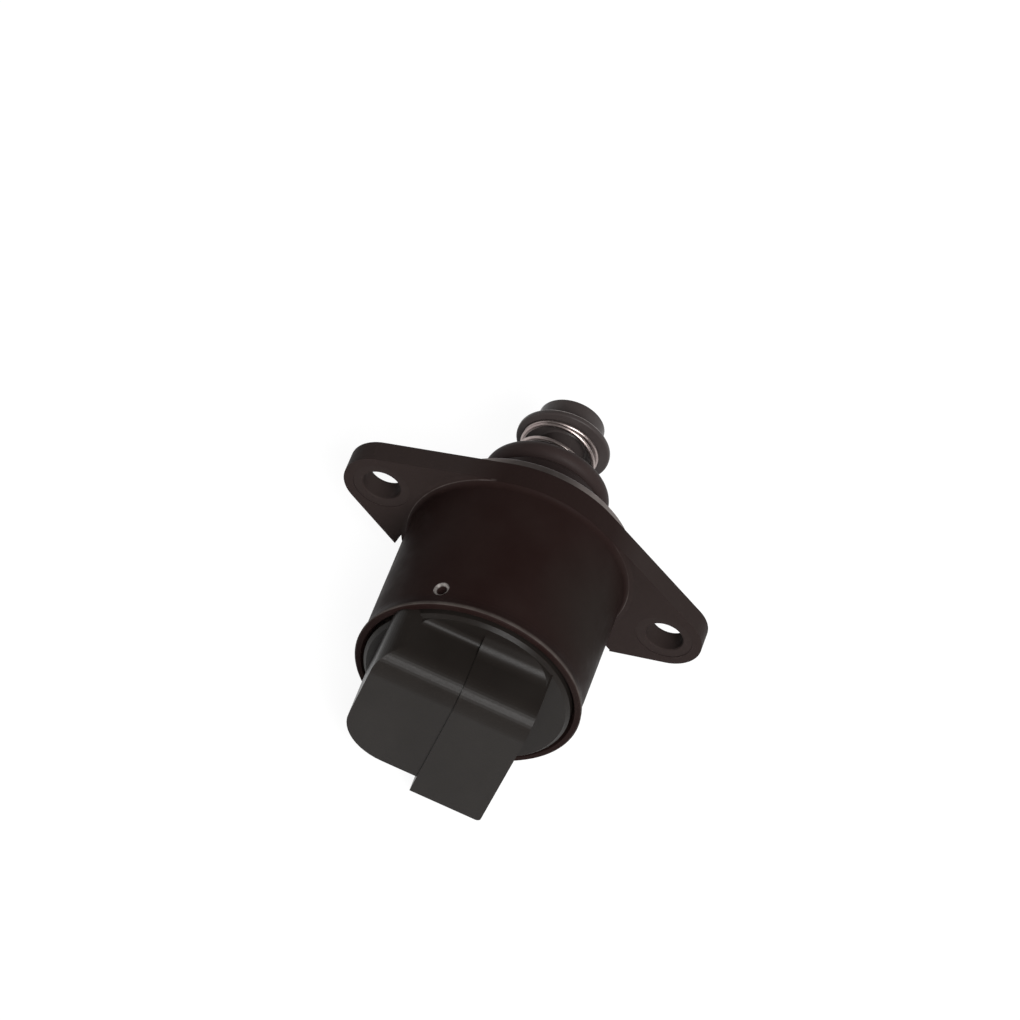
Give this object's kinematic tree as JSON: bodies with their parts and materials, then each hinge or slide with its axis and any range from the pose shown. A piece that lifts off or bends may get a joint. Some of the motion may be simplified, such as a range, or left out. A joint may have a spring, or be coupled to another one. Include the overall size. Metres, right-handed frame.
{
  "type": "idle air control valve",
  "caption": "Idle air control valve: stepper motor in a dark round can with ears for bolts, a sprung pintle and O-ring nose in front, and a moulded connector across the back.",
  "frame": {"origin": "the point where the axis of the can and pintle crosses the mounting face of the flange", "axes": "+Y runs along the axis from the mounting face towards the pintle's tip, -Y back to the connector, +X from the short ear to the long ear, and +Z stands square to both, towards the end of the connector that has no catch"},
  "size_m": [0.0569, 0.0609, 0.0337],
  "materials": {
    "dark_steel": "satin",
    "bare_steel": "satin",
    "spring_steel": "satin",
    "bearing_steel": "polished",
    "black_plastic": "satin",
    "connector_plastic": "satin",
    "natural_plastic": "satin",
    "seal_rubber": "satin",
    "ferrite": "matte",
    "brass": "satin",
    "copper": "gloss",
    "board_laminate": "satin",
    "tinned_brass": "satin"
  },
  "bodies": {
    "housing": {"can_housing": "dark_steel", "front_plate": "bare_steel", "pilot_nose": "black_plastic", "nose_o_ring": "seal_rubber", "guide_bush": "natural_plastic", "bearing_outer_race": "bearing_steel", "bearing_balls": "bearing_steel", "bearing_cage": "brass", "pintle_spring": "spring_steel", "front_pole_plate_a": "bare_steel", "front_pole_plate_b": "bare_steel", "rear_pole_plate_a": "bare_steel", "rear_pole_plate_b": "bare_steel", "front_bobbin": "natural_plastic", "rear_bobbin": "natural_plastic", "front_winding": "copper", "rear_winding": "copper", "terminal_board": "board_laminate", "rear_bush": "brass", "thrust_washer": "bearing_steel", "end_cap": "connector_plastic", "terminal_1": "tinned_brass", "terminal_2": "tinned_brass", "terminal_3": "tinned_brass", "terminal_4": "tinned_brass"},
    "rotor": {"rotor_magnet": "ferrite", "rotor_hub": "natural_plastic", "drive_nut": "brass", "bearing_inner_race": "bearing_steel"},
    "pintle_slider": {"pintle": "black_plastic", "lead_screw": "bare_steel"}
  },
  "joints": [
    {"name": "rotor_spin", "type": "hinge", "parent": "housing", "child": "rotor", "pos_m": [0, 0, 0], "axis": [0, 1, 0], "range_deg": [-2160, 540]},
    {"name": "pintle_slide", "type": "slide", "parent": "housing", "child": "pintle_slider", "axis": [0, 1, 0], "range_m": [-0.0015, 0.006], "deforming": ["pintle_spring"]}
  ],
  "couplings": [
    {"joint": "pintle_slide", "follows": "rotor_spin", "m_per_rad": -0.00015915}
  ]
}
